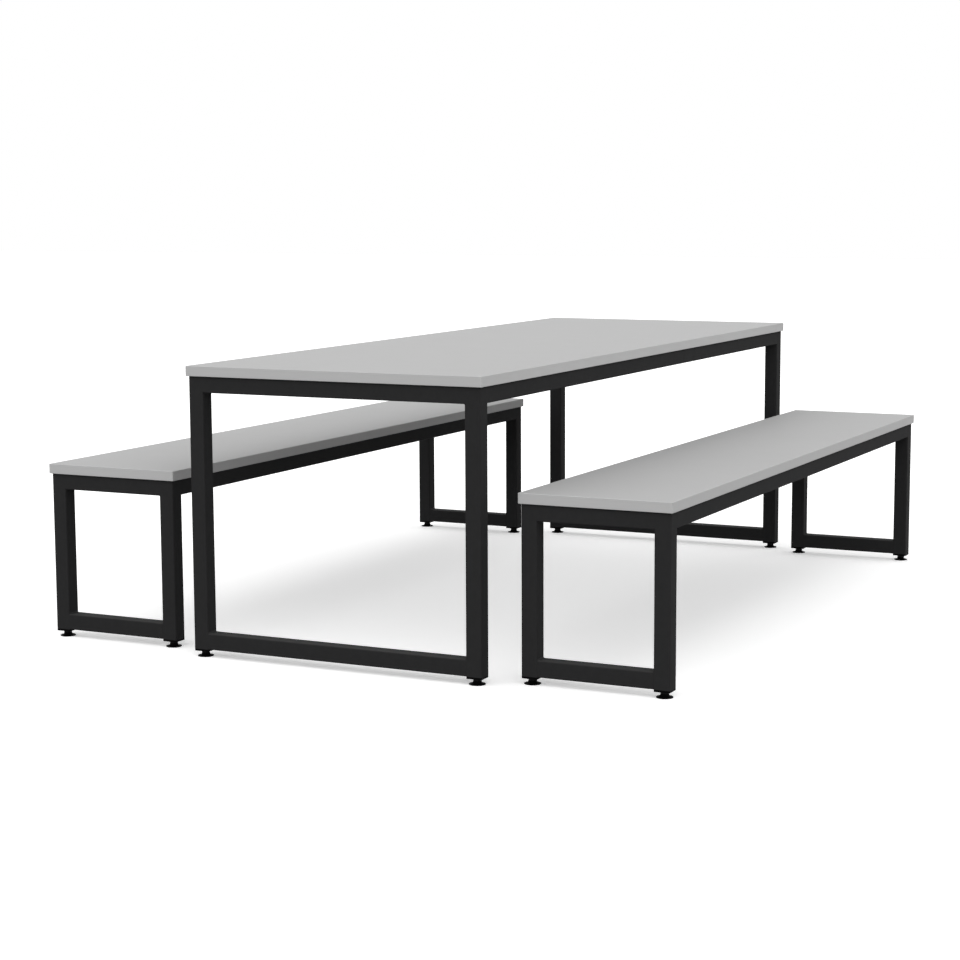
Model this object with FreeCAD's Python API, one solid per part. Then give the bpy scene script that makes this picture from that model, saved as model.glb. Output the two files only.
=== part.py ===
import FreeCAD, Part
import math
import os

# Canteen table with two matching loose benches, in millimetres.
# X runs along the table, Y across it, from the front bench to the back bench, and Z is up.
# The origin is on the floor, at the middle of the ground that the set covers.

# ---- driving sizes ----

# boards
table_length = 2200.0
table_width = 800.0
table_height = 720.0
bench_length = 2080.0
bench_width = 380.0
bench_height = 450.0
board_thickness = 25.0
board_overhang = 6.0           # board past the steel, all round
board_corner_radius = 3.0      # upright corners of a board
edging_thickness = 2.0         # plastic edging glued round the core
edging_chamfer = 0.8           # its top and bottom edges

# where the benches stand, measured in plan from the table's long edges
front_gap = 62.0
back_gap = 83.0

# square steel tube of all frames
tube_size = 40.0
tube_wall = 1.5
tube_radius = 3.0              # outer corners; the inside ones are sharp

# ribbed plastic insert that closes a leg and takes the foot's thread
flange_thickness = 5.0
insert_depth = 26.0            # how far it goes up into the leg
insert_boss_across_flats = 17.0
fin_count = 3
fin_thickness = 1.4
fin_chamfer = 2.0
fin_clearance = 0.1            # each fin edge to the tube's inside

# levelling foot: a moulded base and a steel screw that turns in it
screw_diameter = 10.0
screw_reach = 42.0             # thread above the collar
thread_clearance = 0.05        # radial, screw in insert
foot_disc_diameter = 40.0
foot_rim_height = 2.0
foot_cone_top = 5.4            # where the cone meets the neck
foot_neck_diameter = 20.5
foot_base_height = 9.0
button_diameter = 13.0         # screw's lower end, snapped into the base
button_height = 3.0
foot_floor_thickness = 2.4     # plastic under the button
foot_play = 0.3                # between screw and base
collar_across_flats = 19.0
collar_height = 5.7            # hexagon for a spanner
screw_end_chamfer = 1.0

# ---- sizes that follow ----

collar_bottom = foot_base_height + foot_play
flange_bottom = collar_bottom + collar_height
leg_bottom = flange_bottom + flange_thickness
tube_inside = tube_size - 2 * tube_wall
set_width = bench_width + front_gap + table_width + back_gap + bench_width
front_bench_y = -set_width / 2 + bench_width / 2
back_bench_y = set_width / 2 - bench_width / 2
table_y = front_bench_y + bench_width / 2 + front_gap + table_width / 2


def vec(x, y, z):
    return FreeCAD.Vector(x, y, z)


def moved(shape, x, y, z):
    copy = shape.copy()
    copy.translate(vec(x, y, z))
    return copy


def rounded_square(side, radius):
    # closed outline in XY, centred, with a true arc at each corner
    half = side / 2
    flat = half - radius
    mid = flat + radius * math.sqrt(0.5)
    edges = []
    for turn in range(4):
        corner = [
            Part.LineSegment(vec(half, -flat, 0), vec(half, flat, 0)).toShape(),
            Part.Arc(vec(half, flat, 0), vec(mid, mid, 0), vec(flat, half, 0)).toShape(),
        ]
        for edge in corner:
            edge.rotate(vec(0, 0, 0), vec(0, 0, 1), 90 * turn)
            edges.append(edge)
    return Part.Wire(edges)


def regular_outline(sides, across_flats):
    # closed polygon in XY, centred, with a flat towards +X
    reach = across_flats / 2 / math.cos(math.pi / sides)
    corners = []
    for index in range(sides + 1):
        angle = math.pi * (2 * index + 1) / sides
        corners.append(vec(reach * math.cos(angle), reach * math.sin(angle), 0))
    return Part.makePolygon(corners)


def tube(length):
    # hollow section along +Z from the origin
    outer = Part.Face(rounded_square(tube_size, tube_radius))
    inner = Part.Face(regular_outline(4, tube_inside))
    return outer.cut(inner).Faces[0].extrude(vec(0, 0, length))


def laid_along_x(shape):
    # what ran up +Z now runs along +X
    shape.rotate(vec(0, 0, 0), vec(0, 1, 0), 90)
    return shape


def laid_along_y(shape):
    # what ran up +Z now runs along +Y
    shape.rotate(vec(0, 0, 0), vec(1, 0, 0), -90)
    return shape


def mitre_waste(side):
    # prism over the 45 degree cut at the top of a leg whose outer face looks to side (-1 or +1) in Y;
    # the cut starts at the outer face, level with the origin, and drops by one tube size
    reach = tube_size
    outer = side * tube_size / 2
    inner = -outer
    corners = [
        vec(-reach, outer, 0),
        vec(-reach, inner, -tube_size),
        vec(-reach, inner - side * reach, -2 * tube_size),
        vec(-reach, inner - side * reach, reach),
        vec(-reach, outer + side * reach, reach),
    ]
    corners.append(corners[0])
    return Part.Face(Part.makePolygon(corners)).extrude(vec(2 * reach, 0, 0))


class Unit:
    # one free-standing piece of furniture: a board on two closed end frames and two side rails
    def __init__(self, name, board_name, length, width, height, centre_y):
        self.name = name
        self.board_name = board_name
        self.length = length
        self.width = width
        self.height = height
        self.centre_y = centre_y
        self.frame_top = height - board_thickness
        self.leg_x = length / 2 - board_overhang - tube_size / 2
        self.leg_y = width / 2 - board_overhang - tube_size / 2

    def corners(self):
        for end_name, end in (("left", -1), ("right", 1)):
            for side_name, side in (("front", -1), ("back", 1)):
                yield end_name + "_" + side_name, end, side

    def place(self, shape, x, y, z):
        return moved(shape, x, self.centre_y + y, z)


def rounded_board(unit):
    # outline of core and edging together, lying on the frame
    whole = Part.makeBox(unit.length, unit.width, board_thickness)
    whole.translate(vec(-unit.length / 2, -unit.width / 2, 0))
    upright = [edge for edge in whole.Edges if edge.BoundBox.ZLength > board_thickness / 2]
    whole = whole.makeFillet(board_corner_radius, upright)
    rims = [edge for edge in whole.Edges if edge.BoundBox.ZLength < board_thickness / 2]
    whole = whole.makeChamfer(edging_chamfer, rims)
    return unit.place(whole, 0, 0, unit.frame_top)


def board_box(unit, x_half, y_half):
    box = Part.makeBox(2 * x_half, 2 * y_half, board_thickness)
    return unit.place(box, -x_half, -y_half, unit.frame_top)


def core_box(unit):
    return board_box(unit, unit.length / 2 - edging_thickness, unit.width / 2 - edging_thickness)


def board_core(unit):
    return [rounded_board(unit).common(core_box(unit))]


def edging(unit):
    # one strip glued to each edge; the long strips lap over the ends of the short ones
    ring = rounded_board(unit).cut(core_box(unit))
    between = board_box(unit, unit.length / 2, unit.width / 2 - edging_thickness)
    return ring.cut(between).Solids + ring.common(between).Solids


def leg(unit, end, side):
    length = unit.frame_top - leg_bottom
    post = tube(length).cut(moved(mitre_waste(side), 0, 0, length))
    return [unit.place(post, end * unit.leg_x, side * unit.leg_y, leg_bottom)]


def top_rail(unit, end):
    # crosses over both legs, with an end mitred to each
    span = 2 * unit.leg_y + tube_size
    rail = laid_along_y(tube(span))
    rail.translate(vec(0, -span / 2, 0))
    for side in (-1, 1):
        post = Part.makeBox(2 * tube_size, tube_size, 3 * tube_size)
        post.translate(vec(-tube_size, -tube_size / 2, -2 * tube_size))
        post = post.cut(mitre_waste(side))
        rail = rail.cut(moved(post, 0, side * unit.leg_y, tube_size / 2))
    return [unit.place(rail, end * unit.leg_x, 0, unit.frame_top - tube_size / 2)]


def foot_rail(unit, end):
    # closes the end frame between the legs, level with their lower ends
    span = 2 * unit.leg_y - tube_size
    rail = laid_along_y(tube(span))
    return [unit.place(rail, end * unit.leg_x, -span / 2, leg_bottom + tube_size / 2)]


def side_rails(unit):
    # join the end frames under the board, flush with the legs' outer faces
    span = 2 * unit.leg_x - tube_size
    rails = []
    for side in (-1, 1):
        rail = laid_along_x(tube(span))
        rails.append(unit.place(rail, -span / 2, side * unit.leg_y, unit.frame_top - tube_size / 2))
    return rails


def chamfered_plate(side, cut, thickness):
    half = side / 2
    flat = half - cut
    corners = [(half, -flat), (half, flat), (flat, half), (-flat, half)]
    corners += [(-x, -y) for x, y in corners]
    outline = [vec(x, y, 0) for x, y in corners]
    outline.append(outline[0])
    return Part.Face(Part.makePolygon(outline)).extrude(vec(0, 0, thickness))


def leg_insert():
    # flange on the leg's end, hexagonal boss up inside it, and fins round the boss that grip its walls
    flange = Part.Face(rounded_square(tube_size, tube_radius)).extrude(vec(0, 0, flange_thickness))
    boss = Part.Face(regular_outline(6, insert_boss_across_flats)).extrude(vec(0, 0, insert_depth))
    grip = tube_inside - 2 * fin_clearance
    pieces = [moved(boss, 0, 0, flange_thickness)]
    pitch = insert_depth / fin_count
    for index in range(fin_count):
        fin = chamfered_plate(grip, fin_chamfer, fin_thickness)
        pieces.append(moved(fin, 0, 0, flange_thickness + (index + 0.5) * pitch))
    body = flange.fuse(pieces).removeSplitter()
    thread = Part.makeCylinder(screw_diameter / 2 + thread_clearance, flange_thickness + insert_depth)
    return body.cut(thread)


def leg_inserts(unit):
    insert = leg_insert()
    return [
        unit.place(insert, end * unit.leg_x, side * unit.leg_y, flange_bottom)
        for corner, end, side in unit.corners()
    ]


def revolved(points):
    # outline of (radius, height) points, closed and turned about Z
    outline = [vec(radius, 0, height) for radius, height in points]
    outline.append(outline[0])
    return Part.Face(Part.makePolygon(outline)).revolve(vec(0, 0, 0), vec(0, 0, 1), 360)


def foot_base():
    # thin-rimmed disc under a cone and a neck, with a socket for the screw's button
    disc = foot_disc_diameter / 2
    neck = foot_neck_diameter / 2
    throat = screw_diameter / 2 + foot_play
    socket = button_diameter / 2 + foot_play
    socket_top = foot_floor_thickness + button_height + 2 * foot_play
    return revolved([
        (0, 0),
        (disc, 0),
        (disc, foot_rim_height),
        (neck, foot_cone_top),
        (neck, foot_base_height),
        (throat, foot_base_height),
        (throat, socket_top),
        (socket, socket_top),
        (socket, foot_floor_thickness),
        (0, foot_floor_thickness),
    ])


def foot_screw():
    # button, short shank, hexagon collar and thread, one piece of steel
    radius = screw_diameter / 2
    button = button_diameter / 2
    bottom = foot_floor_thickness + foot_play
    top = flange_bottom + screw_reach
    shank = revolved([
        (0, bottom),
        (button, bottom),
        (button, bottom + button_height),
        (radius, bottom + button_height),
        (radius, top - screw_end_chamfer),
        (radius - screw_end_chamfer, top),
        (0, top),
    ])
    collar = Part.Face(regular_outline(6, collar_across_flats)).extrude(vec(0, 0, collar_height))
    return shank.fuse(moved(collar, 0, 0, collar_bottom)).removeSplitter()


def write(node, solids):
    shape = solids[0] if len(solids) == 1 else Part.makeCompound(solids)
    shape.exportStep("parts/" + node + ".step")
    faces = sum(len(solid.Faces) for solid in solids)
    print(node, "solids", len(shape.Solids), "faces", faces, "valid", shape.isValid())


def build(unit):
    write(unit.name + "_" + unit.board_name, board_core(unit))
    write(unit.name + "_edging", edging(unit))
    for end_name, end in (("left", -1), ("right", 1)):
        write(unit.name + "_" + end_name + "_top_rail", top_rail(unit, end))
        write(unit.name + "_" + end_name + "_foot_rail", foot_rail(unit, end))
    write(unit.name + "_side_rails", side_rails(unit))
    write(unit.name + "_leg_inserts", leg_inserts(unit))
    base = foot_base()
    screw = foot_screw()
    for corner, end, side in unit.corners():
        x = end * unit.leg_x
        y = side * unit.leg_y
        write(unit.name + "_" + corner + "_leg", leg(unit, end, side))
        write(unit.name + "_" + corner + "_foot_base", [unit.place(base, x, y, 0)])
        write(unit.name + "_" + corner + "_foot_screw", [unit.place(screw, x, y, 0)])


os.makedirs("parts", exist_ok=True)
units = [
    Unit("table", "top", table_length, table_width, table_height, table_y),
    Unit("front_bench", "seat", bench_length, bench_width, bench_height, front_bench_y),
    Unit("back_bench", "seat", bench_length, bench_width, bench_height, back_bench_y),
]
for unit in units:
    build(unit)
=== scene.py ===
import math
import random

import bmesh
import bpy
from mathutils import Matrix, Vector


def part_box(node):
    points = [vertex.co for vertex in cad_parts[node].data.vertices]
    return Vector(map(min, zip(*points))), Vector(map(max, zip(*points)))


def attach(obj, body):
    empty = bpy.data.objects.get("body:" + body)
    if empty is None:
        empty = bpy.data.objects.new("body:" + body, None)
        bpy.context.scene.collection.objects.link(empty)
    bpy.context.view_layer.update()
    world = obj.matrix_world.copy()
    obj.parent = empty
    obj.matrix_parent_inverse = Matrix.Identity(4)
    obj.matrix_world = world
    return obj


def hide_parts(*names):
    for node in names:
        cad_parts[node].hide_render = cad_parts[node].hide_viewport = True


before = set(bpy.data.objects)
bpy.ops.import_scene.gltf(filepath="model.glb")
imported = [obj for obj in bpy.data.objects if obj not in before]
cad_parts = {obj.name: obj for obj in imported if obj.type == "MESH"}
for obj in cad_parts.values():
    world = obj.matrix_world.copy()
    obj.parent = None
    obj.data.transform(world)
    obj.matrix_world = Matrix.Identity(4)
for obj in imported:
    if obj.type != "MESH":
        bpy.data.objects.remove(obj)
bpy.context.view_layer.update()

print("frame loaded,", len(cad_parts), "parts")

scene = bpy.context.scene
scene.view_settings.view_transform = "Standard"

units = ("table", "front_bench", "back_bench")
ends = ("left", "right")
sides = ("front", "back")
mm = 0.001


class Wire:
    # one socket of a material, used in plain sums
    def __init__(self, recipe, socket):
        self.recipe = recipe
        self.socket = socket

    def sum(self, operation, first, second):
        return self.recipe.add("ShaderNodeMath", {"operation": operation}, {0: first, 1: second})

    def __add__(self, other):
        return self.sum("ADD", self, other)

    def __radd__(self, other):
        return self.sum("ADD", other, self)

    def __sub__(self, other):
        return self.sum("SUBTRACT", self, other)

    def __rsub__(self, other):
        return self.sum("SUBTRACT", other, self)

    def __mul__(self, other):
        return self.sum("MULTIPLY", self, other)

    def __rmul__(self, other):
        return self.sum("MULTIPLY", other, self)

    def __pow__(self, other):
        return self.sum("POWER", self, other)

    def __rpow__(self, other):
        return self.sum("POWER", other, self)


class Recipe:
    # a node tree under construction
    def __init__(self, tree):
        self.tree = tree
        tree.nodes.clear()

    def add(self, kind, settings=None, sockets=None, out=0):
        node = self.tree.nodes.new(kind)
        for key, value in (settings or {}).items():
            setattr(node, key, value)
        for key, value in (sockets or {}).items():
            if isinstance(value, Wire):
                self.tree.links.new(value.socket, node.inputs[key])
            else:
                node.inputs[key].default_value = value
        return Wire(self, node.outputs[out]) if len(node.outputs) else None

    def place(self, stretch=(1, 1, 1)):
        # the object's own coordinates, in metres
        coordinates = self.add("ShaderNodeTexCoord", out="Object")
        return self.add("ShaderNodeMapping", None, {"Vector": coordinates, "Scale": stretch})

    def noise(self, scale, detail, stretch=(1, 1, 1)):
        sockets = {"Vector": self.place(stretch), "Scale": scale, "Detail": detail}
        return self.add("ShaderNodeTexNoise", None, sockets, "Fac")

    def cells(self, scale, softness):
        sockets = {"Vector": self.place(), "Scale": scale, "Smoothness": softness}
        return self.add("ShaderNodeTexVoronoi", {"feature": "SMOOTH_F1"}, sockets, "Distance")

    def blend(self, factor, first, second):
        pair = [colour if isinstance(colour, Wire) else (*colour, 1) for colour in (first, second)]
        return self.add("ShaderNodeMix", {"data_type": "RGBA"}, {0: factor, 6: pair[0], 7: pair[1]}, 2)

    def uneven(self, factor, colour, spread):
        # the colour, darker by spread where factor is 0 and lighter by it where factor is 1
        dark = [part * (1 - spread) for part in colour]
        light = [part * (1 + spread) for part in colour]
        return self.blend(factor, dark, light)

    def clamped(self, value):
        return self.add("ShaderNodeClamp", None, {"Value": value})

    def facingUp(self):
        # 1 on a face that looks straight up, 0 on a wall
        normal = self.add("ShaderNodeNewGeometry", out="Normal")
        return self.add("ShaderNodeSeparateXYZ", None, {0: normal}, "Z")

    def surface(self, colour, roughness, height, fixed):
        # height is in metres, and fixed holds the sockets that are the same all over
        bump = self.add("ShaderNodeBump", None, {"Height": height, "Distance": 1.0, "Strength": 1.0})
        sockets = {"Base Color": colour, "Roughness": roughness, "Normal": bump, **fixed}
        shader = self.add("ShaderNodeBsdfPrincipled", None, sockets)
        self.add("ShaderNodeOutputMaterial", None, {"Surface": shader})


def newFinish(name):
    material = bpy.data.materials.new(name)
    material.use_nodes = True
    return material, Recipe(material.node_tree)


def wornRoughness(patches, finish):
    # wanders around the finish's roughness
    return (patches - 0.5) * finish["wearSpread"] + finish["roughness"]


# a pair of numbers in a finish is the scale per metre and the detail of a noise

laminate = {
    "colour": (0.442, 0.442, 0.442),
    "gloss": 0.04,
    "cloud": (3.0, 3.0),
    "cloudStrength": 0.024,
    "speck": (900.0, 2.0),
    "speckStrength": 0.10,
    "pearlScale": 620.0,
    "pearlSoftness": 0.6,
    "pearlHeight": 0.022 * mm,
    "roughness": 0.58,
    "wear": (14.0, 3.0),
    "wearSpread": 0.08,
}


def laminateFinish():
    material, recipe = newFinish("greyLaminate")
    cloud = recipe.noise(*laminate["cloud"])
    speck = recipe.noise(*laminate["speck"])
    strengths = laminate["cloudStrength"] + laminate["speckStrength"]
    tone = cloud * laminate["cloudStrength"] + speck * laminate["speckStrength"]
    colour = recipe.uneven(tone * (1 / strengths), laminate["colour"], strengths / 2)
    pearl = recipe.cells(laminate["pearlScale"], laminate["pearlSoftness"]) * laminate["pearlHeight"]
    roughness = wornRoughness(recipe.noise(*laminate["wear"]), laminate)
    recipe.surface(colour, roughness, pearl, {"Specular IOR Level": laminate["gloss"]})
    return material


edging = {
    "colour": (0.502, 0.502, 0.502),
    "gloss": 0.03,
    "streak": (30.0, 3.0),
    "streakStretch": (0.4, 0.4, 12.0),
    "streakSpread": 0.015,
    "grain": (1500.0, 2.0),
    "grainHeight": 0.014 * mm,
    "roughness": 0.5,
    "wear": (40.0, 2.0),
    "wearSpread": 0.1,
}


def edgingFinish():
    material, recipe = newFinish("greyEdging")
    streak = recipe.noise(*edging["streak"], edging["streakStretch"])
    colour = recipe.uneven(streak, edging["colour"], edging["streakSpread"])
    grain = recipe.noise(*edging["grain"]) * edging["grainHeight"]
    roughness = wornRoughness(recipe.noise(*edging["wear"]), edging)
    recipe.surface(colour, roughness, grain, {"Specular IOR Level": edging["gloss"]})
    return material


powderCoat = {
    "colour": (0.0265, 0.0265, 0.027),
    "gloss": 0.018,
    "mottle": (60.0, 3.0),
    "mottleSpread": 0.1,
    # painted light: the paler grey that upward faces are lightened towards, and its patches, least and
    # extra share and how tightly it keeps to faces that look straight up
    "paintedTopLight": (0.052, 0.052, 0.052),
    "paintedTopLightPatches": (9.0, 4.0),
    "paintedTopLightLeast": 0.7,
    "paintedTopLightMore": 0.5,
    "paintedTopLightFocus": 3.0,
    "peel": (380.0, 1.0),
    "peelHeight": 0.045 * mm,
    "grain": (1700.0, 2.0),
    "grainHeight": 0.012 * mm,
    "roughness": 0.72,
    "wear": (25.0, 3.0),
    "wearSpread": 0.1,
}


def powderCoatFinish():
    material, recipe = newFinish("blackPowderCoat")
    mottle = recipe.noise(*powderCoat["mottle"])
    coat = recipe.uneven(mottle, powderCoat["colour"], powderCoat["mottleSpread"])
    # painted light: faces that look up are lightened towards a paler grey, in patches, to stand for light
    # falling from above
    upward = recipe.clamped(recipe.facingUp()) ** powderCoat["paintedTopLightFocus"]
    patches = recipe.noise(*powderCoat["paintedTopLightPatches"]) * powderCoat["paintedTopLightMore"] + powderCoat["paintedTopLightLeast"]
    colour = recipe.blend(upward * patches, coat, powderCoat["paintedTopLight"])
    peel = recipe.noise(*powderCoat["peel"]) * powderCoat["peelHeight"]
    grain = recipe.noise(*powderCoat["grain"]) * powderCoat["grainHeight"]
    roughness = wornRoughness(recipe.noise(*powderCoat["wear"]), powderCoat)
    recipe.surface(colour, roughness, peel + grain, {"Specular IOR Level": powderCoat["gloss"]})
    return material


mouldedPlastic = {
    "colour": (0.0016, 0.0016, 0.0017),
    "gloss": 0.02,
    "spark": (1600.0, 3.0),
    "sparkSpread": 0.08,
    "sparkHeight": 0.006 * mm,
    "roughness": 0.5,
    "wear": (90.0, 2.0),
    "wearSpread": 0.12,
}


def mouldedPlasticFinish():
    material, recipe = newFinish("blackMouldedPlastic")
    spark = recipe.noise(*mouldedPlastic["spark"])
    colour = recipe.uneven(spark, mouldedPlastic["colour"], mouldedPlastic["sparkSpread"])
    height = spark * mouldedPlastic["sparkHeight"]
    roughness = wornRoughness(recipe.noise(*mouldedPlastic["wear"]), mouldedPlastic)
    recipe.surface(colour, roughness, height, {"Specular IOR Level": mouldedPlastic["gloss"]})
    return material


blackZinc = {
    "dark": (0.0035, 0.0035, 0.0035),
    "light": (0.009, 0.009, 0.0088),
    "patches": (180.0, 3.0),
    "brushed": (2600.0, 1.0),
    "brushedHeight": 0.002 * mm,
    "roughness": 0.40,
    "wearSpread": 0.14,
}


def blackZincFinish():
    material, recipe = newFinish("blackZincPlate")
    patches = recipe.noise(*blackZinc["patches"])
    colour = recipe.blend(patches, blackZinc["dark"], blackZinc["light"])
    brushed = recipe.noise(*blackZinc["brushed"]) * blackZinc["brushedHeight"]
    recipe.surface(colour, wornRoughness(patches, blackZinc), brushed, {"Metallic": 1.0})
    return material


finishes = {
    "laminate": laminateFinish(),
    "edging": edgingFinish(),
    "coat": powderCoatFinish(),
    "plastic": mouldedPlasticFinish(),
    "blackZinc": blackZincFinish(),
}
print("finishes made,", len(finishes))


def newMesh(name, build, finish, crispAbove):
    # build fills an empty bmesh, and bends of more than crispAbove degrees stay crisp
    mesh = bpy.data.meshes.new(name)
    bm = bmesh.new()
    build(bm)
    bmesh.ops.recalc_face_normals(bm, faces=bm.faces)
    bm.normal_update()
    for face in bm.faces:
        face.smooth = True
    for edge in bm.edges:
        edge.smooth = len(edge.link_faces) == 2 and edge.calc_face_angle(0) < math.radians(crispAbove)
    bm.to_mesh(mesh)
    bm.free()
    mesh.materials.append(finishes[finish])
    return mesh


def newPiece(name, mesh):
    piece = bpy.data.objects.new(name, mesh)
    scene.collection.objects.link(piece)
    return piece


def ringAt(bm, radius, height, count, turn=0.0):
    if radius == 0:
        return [bm.verts.new((0, 0, height))]
    angles = [2 * math.pi * index / count + turn for index in range(count)]
    return [bm.verts.new((radius * math.cos(a), radius * math.sin(a), height)) for a in angles]


def joinRings(bm, lower, upper):
    # quads between two rings, or a fan where one of them is a point
    count = max(len(lower), len(upper))
    for index in range(count):
        after = (index + 1) % count
        corners = [lower[index % len(lower)], lower[after % len(lower)]]
        corners += [upper[after % len(upper)], upper[index % len(upper)]]
        loop = list(dict.fromkeys(corners))
        if len(loop) > 2:
            bm.faces.new(loop)


def joinAll(bm, rings):
    for lower, upper in zip(rings, rings[1:]):
        joinRings(bm, lower, upper)


def turned(bm, profile, count):
    # profile is a list of (radius, height) in metres that starts and ends on the axis
    joinAll(bm, [ringAt(bm, radius, height, count) for radius, height in profile])


def arcPoints(centre, radius, first, last, count):
    # points on an arc, angles in degrees
    points = []
    for index in range(count + 1):
        angle = math.radians(first + (last - first) * index / count)
        points.append((centre[0] + radius * math.cos(angle), centre[1] + radius * math.sin(angle)))
    return points


def dressNodes():
    # what the parts of the frame are finished with, by the ends of their names
    finishByEnding = {
        "_edging": "edging",
        "_top_rail": "coat",
        "_foot_rail": "coat",
        "_side_rails": "coat",
        "_leg": "coat",
        "_top": "laminate",
        "_seat": "laminate",
        "_inserts": "plastic",
        "_base": "plastic",
        "_screw": "blackZinc",
    }
    for name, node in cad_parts.items():
        finish = next(finish for ending, finish in finishByEnding.items() if name.endswith(ending))
        for slot in node.material_slots:
            slot.material = finishes[finish]


dressNodes()
print("parts dressed")


footBase = {
    "rimRadius": 20.0 * mm,
    "rimHeight": 2.0 * mm,
    "rimRound": 0.6 * mm,
    "rimRoundEnd": 80,  # degrees
    "rimLedge": 0.3 * mm,
    "neckRadius": 10.25 * mm,
    "flareTop": 7.6 * mm,
    "flareSteps": 12,
    "height": 9.0 * mm,
    "topRound": 0.6 * mm,
    "throatRadius": 5.3 * mm,
    "socketRadius": 6.8 * mm,
    "socketTop": 6.0 * mm,
    "socketFloor": 2.4 * mm,
    "grooveRadii": (4.0 * mm, 7.0 * mm, 10.0 * mm, 13.0 * mm, 16.0 * mm),
    "grooveWidth": 1.2 * mm,
    "grooveDepth": 0.6 * mm,
    "grooveDraft": 0.2 * mm,
    "roundSteps": 4,
    "segments": 64,
    "crispAbove": 35,
}


def buildFootBase(bm):
    foot = footBase
    bend = foot["rimRound"]
    bendRadius = foot["rimRadius"] - bend
    steps = foot["roundSteps"]
    profile = [(0, 0)]
    for inner in foot["grooveRadii"]:
        outer = inner + foot["grooveWidth"]
        profile += [
            (inner, 0),
            (inner + foot["grooveDraft"], foot["grooveDepth"]),
            (outer - foot["grooveDraft"], foot["grooveDepth"]),
            (outer, 0),
        ]
    profile += arcPoints((bendRadius, bend), bend, -90, 0, steps)
    profile += arcPoints((bendRadius, foot["rimHeight"] - bend), bend, 0, foot["rimRoundEnd"], steps)
    spread = bendRadius - foot["rimLedge"] - foot["neckRadius"]
    rise = foot["flareTop"] - foot["rimHeight"]
    for index in range(foot["flareSteps"] + 1):
        angle = math.radians(90 * index / foot["flareSteps"])
        radius = foot["neckRadius"] + spread * (1 - math.sin(angle))
        profile.append((radius, foot["flareTop"] - rise * math.cos(angle)))
    crown = (foot["neckRadius"] - foot["topRound"], foot["height"] - foot["topRound"])
    profile += arcPoints(crown, foot["topRound"], 0, 90, steps)
    profile += [
        (foot["throatRadius"], foot["height"]),
        (foot["throatRadius"], foot["socketTop"]),
        (foot["socketRadius"], foot["socketTop"]),
        (foot["socketRadius"], foot["socketFloor"]),
        (0, foot["socketFloor"]),
    ]
    turned(bm, profile, foot["segments"])


footScrew = {
    "buttonRadius": 6.5 * mm,
    "buttonBottom": 2.7 * mm,
    "buttonTop": 5.7 * mm,
    "buttonBevel": 0.3 * mm,
    "shankRadius": 5.0 * mm,
    "collarFlats": 19.0 * mm,
    "collarBottom": 9.3 * mm,
    "collarTop": 15.0 * mm,
    "collarLean": 30.0,  # degrees
    "collarFace": 0.985,  # share of the flats
    "collarBore": 0.9,  # share of the shank
    "collarSegments": 60,
    "neckBite": 0.3 * mm,
    "threadBite": 0.4 * mm,
    "threadTop": 57.0 * mm,
    "threadDepth": 0.92 * mm,
    "crestInset": 0.02 * mm,
    "pitch": 1.5 * mm,
    "mergeWithin": 0.001 * mm,
    "segments": 24,
    "crispAbove": 35,
}


def buildCollar(bm):
    # hexagon with its corners turned off above and below, as on a nut
    screw = footScrew
    count = screw["collarSegments"]
    half = screw["collarFlats"] / 2
    face = half * screw["collarFace"]
    bore = screw["shankRadius"] * screw["collarBore"]
    drop = math.tan(math.radians(screw["collarLean"]))
    rings = [ringAt(bm, bore, screw["collarBottom"], count), ringAt(bm, face, screw["collarBottom"], count)]
    lower = []
    upper = []
    for index in range(count):
        angle = 2 * math.pi * index / count
        fromFlat = (angle + math.pi / 6) % (math.pi / 3) - math.pi / 6
        radius = half / math.cos(fromFlat)
        cut = (radius - face) * drop
        spot = Vector((math.cos(angle) * radius, math.sin(angle) * radius, 0))
        lower.append(bm.verts.new(spot + Vector((0, 0, screw["collarBottom"] + cut))))
        upper.append(bm.verts.new(spot + Vector((0, 0, screw["collarTop"] - cut))))
    rings += [lower, upper]
    rings.append(ringAt(bm, face, screw["collarTop"], count))
    rings.append(ringAt(bm, bore, screw["collarTop"], count))
    joinAll(bm, rings)
    joinRings(bm, rings[-1], rings[0])


def buildThread(bm):
    # rows of points that climb with the turn, each row on the root, the flank or the crest
    screw = footScrew
    count = screw["segments"]
    bottom = screw["collarTop"] - screw["threadBite"]
    top = screw["threadTop"]
    root = screw["shankRadius"] - screw["threadDepth"]
    flank = (root + screw["shankRadius"]) / 2
    levels = (root, flank, screw["shankRadius"] - screw["crestInset"], flank)
    rowsPerTurn = len(levels)
    rows = rowsPerTurn * (int((top - bottom) / screw["pitch"]) + 2)
    columns = []
    for column in range(count + 1):
        angle = 2 * math.pi * column / count
        line = []
        for row in range(rows + 1):
            climb = (row - rowsPerTurn) / rowsPerTurn + column / count
            height = min(max(bottom + climb * screw["pitch"], bottom), top)
            radius = root if height in (bottom, top) else levels[row % rowsPerTurn]
            line.append(bm.verts.new((radius * math.cos(angle), radius * math.sin(angle), height)))
        columns.append(line)
    for left, right in zip(columns, columns[1:]):
        for row in range(rows):
            bm.faces.new((left[row], right[row], right[row + 1], left[row + 1]))
    bmesh.ops.remove_doubles(bm, verts=bm.verts, dist=screw["mergeWithin"])
    bmesh.ops.dissolve_degenerate(bm, edges=bm.edges, dist=screw["mergeWithin"])
    bmesh.ops.holes_fill(bm, edges=[edge for edge in bm.edges if edge.is_boundary], sides=0)


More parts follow.
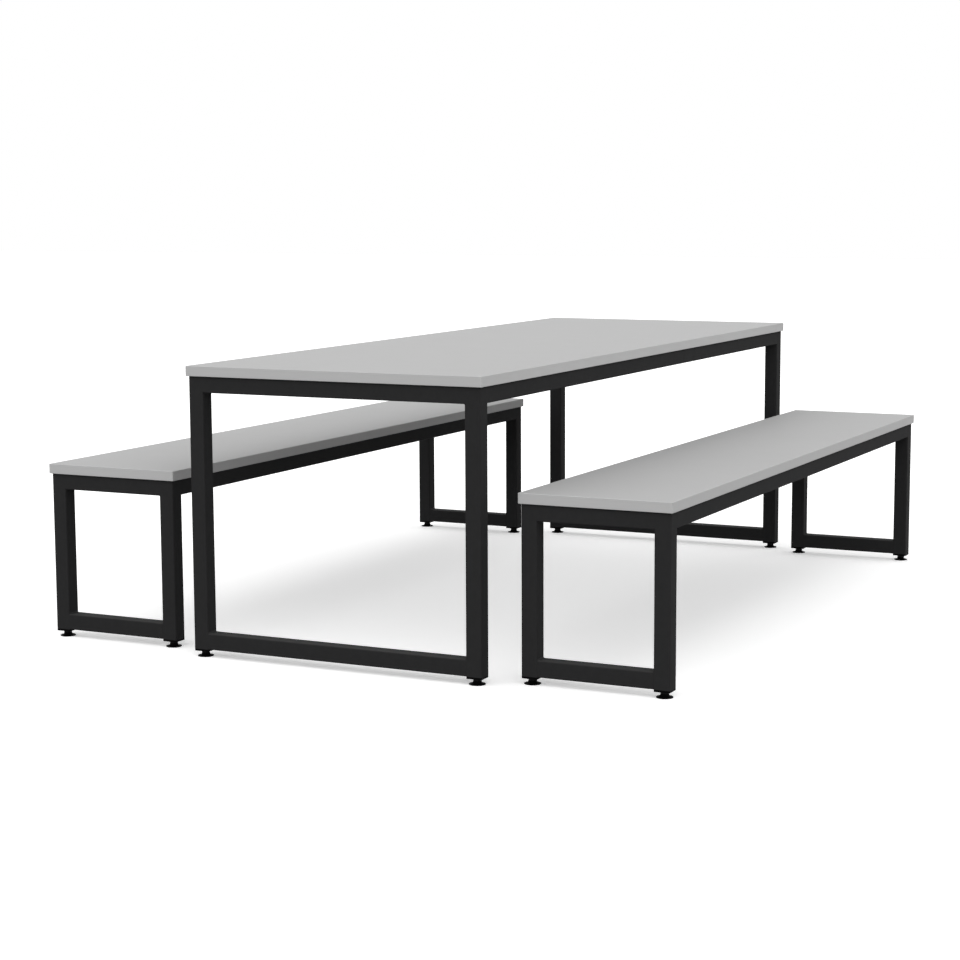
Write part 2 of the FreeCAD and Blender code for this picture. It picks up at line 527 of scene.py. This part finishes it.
def buildFootScrew(bm):
    screw = footScrew
    bevel = screw["buttonBevel"]
    neckTop = screw["collarBottom"] + screw["neckBite"]
    buildThread(bm)
    buildCollar(bm)
    turned(bm, [
        (0, screw["buttonBottom"]),
        (screw["buttonRadius"] - bevel, screw["buttonBottom"]),
        (screw["buttonRadius"], screw["buttonBottom"] + bevel),
        (screw["buttonRadius"], screw["buttonTop"] - bevel),
        (screw["buttonRadius"] - bevel, screw["buttonTop"]),
        (screw["shankRadius"], screw["buttonTop"]),
        (screw["shankRadius"], neckTop),
        (0, neckTop),
    ], screw["segments"])


def standAt(piece, place, body):
    piece.location = place
    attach(piece, body)


def makeFoot(stem, baseMesh, screwMesh):
    low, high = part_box(stem + "_foot_base")
    place = (low + high) / 2
    place.z = 0
    base = newPiece(stem + "_glide_foot", baseMesh)
    screw = newPiece(stem + "_glide_screw", screwMesh)
    standAt(base, place, stem + "_foot")
    standAt(screw, place, stem + "_screw")
    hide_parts(stem + "_foot_base")
    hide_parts(stem + "_foot_screw")


glideFoot = newMesh("glideFoot", buildFootBase, "plastic", footBase["crispAbove"])
glideScrew = newMesh("glideScrew", buildFootScrew, "blackZinc", footScrew["crispAbove"])
footNames = ["_".join((unit, end, side)) for unit in units for end in ends for side in sides]
for footName in footNames:
    makeFoot(footName, glideFoot, glideScrew)
print("feet made,", len(footNames))


weld = {
    "size": 3.6 * mm,
    "sink": 0.25 * mm,
    "ripplePitch": 2.6 * mm,
    "rippleDepth": 0.10,
    "wander": 0.05,
    "wanderSpeed": 7,
    "wanderShift": 6,
    "endSize": 0.45,
    "endGrowth": 8,
    "fullness": 0.42,
    "stepsPerRipple": 6,
    "fewestSteps": 4,
    "arcSteps": 5,
    "endInset": 2.6 * mm,
    "legRound": 3.0 * mm,
    "sideSeam": 0.08 * mm,
    "footSeam": 0.35 * mm,
    "seamEdge": 0.02 * mm,
    "seamHollow": 0.6,
    "seamLap": 0.1 * mm,
    "crispAbove": 50,
}


def beadSpot(share):
    # between a hollow, a flat and a full fillet of size 1
    angle = math.pi / 2 * share
    hollow = Vector((1 - math.sin(angle), 1 - math.cos(angle)))
    flat = Vector((1 - share, share))
    full = Vector((math.cos(angle), math.sin(angle)))
    return (hollow + flat) / 2 * (1 - weld["fullness"]) + full * weld["fullness"]


def addBead(bm, start, stop, wallOne, wallTwo, dice):
    # a fillet from start to stop in the corner of two walls that open towards wallOne and wallTwo
    along = stop - start
    length = along.length
    along.normalize()
    ripples = length / weld["ripplePitch"]
    steps = max(int(ripples * weld["stepsPerRipple"]), weld["fewestSteps"])
    wave = dice.random()
    sections = []
    for step in range(steps + 1):
        share = step / steps
        phase = (share * ripples + wave) % 1.0
        size = weld["size"] * (1 - weld["rippleDepth"] * (1 - math.sin(math.pi * phase)))
        size *= 1 + weld["wander"] * math.sin(weld["wanderSpeed"] * share + weld["wanderShift"] * wave)
        size *= min(1.0, weld["endSize"] + weld["endGrowth"] * min(share, 1 - share))
        middle = start + along * (length * share)
        section = [bm.verts.new(middle - (wallOne + wallTwo) * weld["sink"])]
        for index in range(weld["arcSteps"] + 1):
            spot = beadSpot(index / weld["arcSteps"]) * size
            if index == 0:
                spot.y = -weld["sink"]
            if index == weld["arcSteps"]:
                spot.x = -weld["sink"]
            section.append(bm.verts.new(middle + wallOne * spot.x + wallTwo * spot.y))
        sections.append(section)
    joinAll(bm, sections)
    bm.faces.new(sections[0])
    bm.faces.new(sections[-1])


def addSeam(bm, corner, railward, outward, along, recess):
    # fills the groove that a leg's rounded edge leaves beside the square end of a rail
    bend = weld["legRound"]
    lap = weld["seamLap"]
    outline = [
        (-bend, -weld["seamEdge"]),
        (-bend / 2, -recess * weld["seamHollow"]),
        (lap, -recess),
        (lap, -bend),
        (-bend, -bend),
    ]
    rings = []
    for start in (corner, corner + along):
        rings.append([bm.verts.new(start + railward * a + outward * b) for a, b in outline])
    joinAll(bm, rings)
    for ring in rings:
        bm.faces.new(ring)


def weldLeg(bm, unit, end, side, dice):
    # where one leg meets the top rail, the foot rail and the side rail
    legLow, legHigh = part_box("_".join((unit, end, side, "leg")))
    footLow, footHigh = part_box(unit + "_" + end + "_foot_rail")
    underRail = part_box(unit + "_side_rails")[0].z
    innerY, outerY = (legHigh.y, legLow.y) if side == "front" else (legLow.y, legHigh.y)
    innerX = legHigh.x if end == "left" else legLow.x
    inward = Vector((0, 1 if side == "front" else -1, 0))
    railward = Vector((1 if end == "left" else -1, 0, 0))
    up = Vector((0, 0, 1))
    reach = weld["endInset"]
    tube = legHigh.x - legLow.x
    seam = up * (tube - 2 * reach)

    for height, wall in ((underRail, -up), (footHigh.z, up)):
        start = Vector((legLow.x + reach, innerY, height))
        stop = Vector((legHigh.x - reach, innerY, height))
        addBead(bm, start, stop, inward, wall, dice)
    start = Vector((innerX, legLow.y + reach, underRail))
    stop = Vector((innerX, legHigh.y - reach, underRail))
    addBead(bm, start, stop, railward, -up, dice)
    addSeam(bm, Vector((innerX, outerY, underRail + reach)), railward, -inward, seam, weld["sideSeam"])
    for faceX, outward in ((legLow.x, Vector((-1, 0, 0))), (legHigh.x, Vector((1, 0, 0)))):
        addSeam(bm, Vector((faceX, innerY, footLow.z + reach)), inward, outward, seam, weld["footSeam"])
    start = Vector((innerX, innerY, underRail + reach))
    stop = Vector((innerX, innerY, underRail + tube - reach))
    addBead(bm, start, stop, railward, inward, dice)


def makeWelds(unit):
    dice = random.Random(unit)

    def build(bm):
        for end in ends:
            for side in sides:
                weldLeg(bm, unit, end, side, dice)

    mesh = newMesh(unit + "_welds", build, "coat", weld["crispAbove"])
    piece = newPiece(unit + "_welds", mesh)
    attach(piece, unit)


for unit in units:
    makeWelds(unit)
print("welds laid")


boardScrew = {
    "headRadius": 5.0 * mm,
    "headHeight": 2.6 * mm,
    "headEdge": 0.3 * mm,
    "headBite": 0.1 * mm,
    "seatShare": 0.96,
    "flatRadius": 2.9 * mm,
    "domeSteps": 5,
    "recessReach": 2.1 * mm,
    "recessHalf": 0.62 * mm,
    "recessDepth": 1.5 * mm,
    "recessTaper": 0.6,
    "endInset": 170.0 * mm,
    "perSide": {"table": 4, "front_bench": 3, "back_bench": 3},
    "turnSpread": 6,  # radians
    "segments": 32,
    "crispAbove": 40,
}


def addScrewHead(bm, place, turn):
    # pan head that hangs under a rail, with a cross recess
    screw = boardScrew
    edge = screw["headEdge"]
    levels = [(screw["headRadius"] * screw["seatShare"], screw["headBite"]), (screw["headRadius"], -edge)]
    for index in range(1, screw["domeSteps"] + 1):
        angle = math.radians(90 * index / screw["domeSteps"])
        radius = screw["flatRadius"] + (screw["headRadius"] - screw["flatRadius"]) * math.cos(angle)
        levels.append((radius, -edge - (screw["headHeight"] - edge) * math.sin(angle)))
    rings = [ringAt(bm, radius, height, screw["segments"], turn) for radius, height in levels]
    joinAll(bm, rings)
    bm.faces.new(list(reversed(rings[0])))

    reach = screw["recessReach"]
    half = screw["recessHalf"]
    mouth = []
    for quarter in range(4):
        spin = Matrix.Rotation(math.pi / 2 * quarter, 3, "Z")
        for x, y in ((reach, -half), (reach, half), (half, half)):
            mouth.append(bm.verts.new(spin @ Vector((x, y, -screw["headHeight"]))))
    taper = screw["recessTaper"]
    depth = screw["recessDepth"]
    deep = [bm.verts.new((v.co.x * taper, v.co.y * taper, v.co.z + depth)) for v in mouth]
    joinRings(bm, mouth, deep)
    bm.faces.new(deep)

    # the flat between the rim and the recess
    loops = []
    for ring in (rings[-1], mouth):
        for index, vert in enumerate(ring):
            after = ring[(index + 1) % len(ring)]
            loops.append(bm.edges.get((vert, after)))
    bmesh.ops.triangle_fill(bm, edges=loops, use_beauty=True)
    verts = [vert for ring in rings for vert in ring] + mouth + deep
    bmesh.ops.translate(bm, verts=verts, vec=place)


def makeBoardScrews(unit):
    dice = random.Random(unit + "screws")
    low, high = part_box(unit + "_side_rails")
    legLow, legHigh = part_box(unit + "_left_front_leg")
    half = (legHigh.y - legLow.y) / 2
    first = low.x + boardScrew["endInset"]
    last = high.x - boardScrew["endInset"]
    perSide = boardScrew["perSide"][unit]

    def build(bm):
        for lineY in (low.y + half, high.y - half):
            for index in range(perSide):
                x = first + (last - first) * index / (perSide - 1)
                turn = dice.random() * boardScrew["turnSpread"]
                addScrewHead(bm, Vector((x, lineY, low.z)), turn)

    mesh = newMesh(unit + "_board_screws", build, "blackZinc", boardScrew["crispAbove"])
    piece = newPiece(unit + "_board_screws", mesh)
    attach(piece, unit)


for unit in units:
    makeBoardScrews(unit)
print("screws set")


studio = {
    "floorSide": 60.0,
    "floorBounce": 0.15,
    "floorSeen": 1.0,
    "floorGlow": 0.33,
    "ambient": 0.68,
    "backdrop": 1.0,
    "lamps": {
        "softLeft": {"towards": (1.0, 0.0, -0.35), "spread": 2.0, "strength": 1.54},
        "softFront": {"towards": (0.0, 1.0, -0.35), "spread": 2.0, "strength": 1.02},
        "softBack": {"towards": (0.0, -1.0, -1.0), "spread": 1.4, "strength": 0.45},
    },
}


def seenDirectly(recipe):
    # 1 for what the camera sees, also in a reflection or through glass
    rays = ("Is Camera Ray", "Is Glossy Ray", "Is Transmission Ray")
    camera, glossy, through = [recipe.add("ShaderNodeLightPath", out=ray) for ray in rays]
    return recipe.clamped(camera + glossy + through)


def grey(level):
    return (level, level, level, 1)


def makeWorld():
    world = bpy.data.worlds.new("softStudio")
    world.use_nodes = True
    recipe = Recipe(world.node_tree)
    seen = seenDirectly(recipe)
    ambient = recipe.add("ShaderNodeBackground", None, {"Color": grey(1), "Strength": studio["ambient"]})
    white = recipe.add("ShaderNodeBackground", None, {"Color": grey(1), "Strength": studio["backdrop"]})
    mixed = recipe.add("ShaderNodeMixShader", None, {0: seen, 1: ambient, 2: white})
    recipe.add("ShaderNodeOutputWorld", None, {"Surface": mixed})
    scene.world = world


def makeFloor():
    material, recipe = newFinish("paleFloor")
    seen = seenDirectly(recipe)
    bounce = recipe.add("ShaderNodeBsdfDiffuse", None, {"Color": grey(studio["floorBounce"])})
    shown = recipe.add("ShaderNodeBsdfDiffuse", None, {"Color": grey(studio["floorSeen"])})
    glow = recipe.add("ShaderNodeEmission", None, {"Color": grey(1), "Strength": studio["floorGlow"]})
    lit = recipe.add("ShaderNodeAddShader", None, {0: shown, 1: glow})
    mixed = recipe.add("ShaderNodeMixShader", None, {0: seen, 1: bounce, 2: lit})
    recipe.add("ShaderNodeOutputMaterial", None, {"Surface": mixed})
    half = studio["floorSide"] / 2
    corners = [(-half, -half, 0), (half, -half, 0), (half, half, 0), (-half, half, 0)]
    mesh = bpy.data.meshes.new("studioFloor")
    mesh.from_pydata(corners, [], [(0, 1, 2, 3)])
    mesh.materials.append(material)
    floor = bpy.data.objects.new("studioFloor", mesh)
    scene.collection.objects.link(floor)


def makeSun(name, towards, spread, strength):
    lamp = bpy.data.lights.new(name, "SUN")
    lamp.angle = spread
    lamp.energy = strength
    holder = bpy.data.objects.new(name, lamp)
    scene.collection.objects.link(holder)
    holder.rotation_euler = Vector(towards).to_track_quat("-Z", "Y").to_euler()


viewpoint = {
    "place": (-5.462816, -2.533212, 1.130495),
    "heading": 0.4536,
    "dip": 0.1325,
    "roll": -0.0045,
    "focal": 2146.66,  # in pixels of the frame
    "frameSide": 960,
    "sensor": 36.0,
    "clipEnd": 200.0,
}


def makeCamera():
    view = viewpoint
    ahead = Vector((
        math.cos(view["dip"]) * math.cos(view["heading"]),
        math.cos(view["dip"]) * math.sin(view["heading"]),
        -math.sin(view["dip"]),
    ))
    right = ahead.cross(Vector((0, 0, 1))).normalized()
    above = right.cross(ahead)
    rightRolled = right * math.cos(view["roll"]) + above * math.sin(view["roll"])
    aboveRolled = above * math.cos(view["roll"]) - right * math.sin(view["roll"])
    turn = Matrix((rightRolled, aboveRolled, -ahead)).transposed().to_4x4()
    data = bpy.data.cameras.new("viewpoint")
    data.sensor_width = view["sensor"]
    data.lens = view["focal"] / view["frameSide"] * view["sensor"]
    data.clip_end = view["clipEnd"]
    camera = bpy.data.objects.new("viewpoint", data)
    scene.collection.objects.link(camera)
    camera.matrix_world = Matrix.Translation(view["place"]) @ turn
    scene.camera = camera


makeWorld()
makeFloor()
for lampName, lamp in studio["lamps"].items():
    makeSun(lampName, lamp["towards"], lamp["spread"], lamp["strength"])
makeCamera()
print("studio ready")
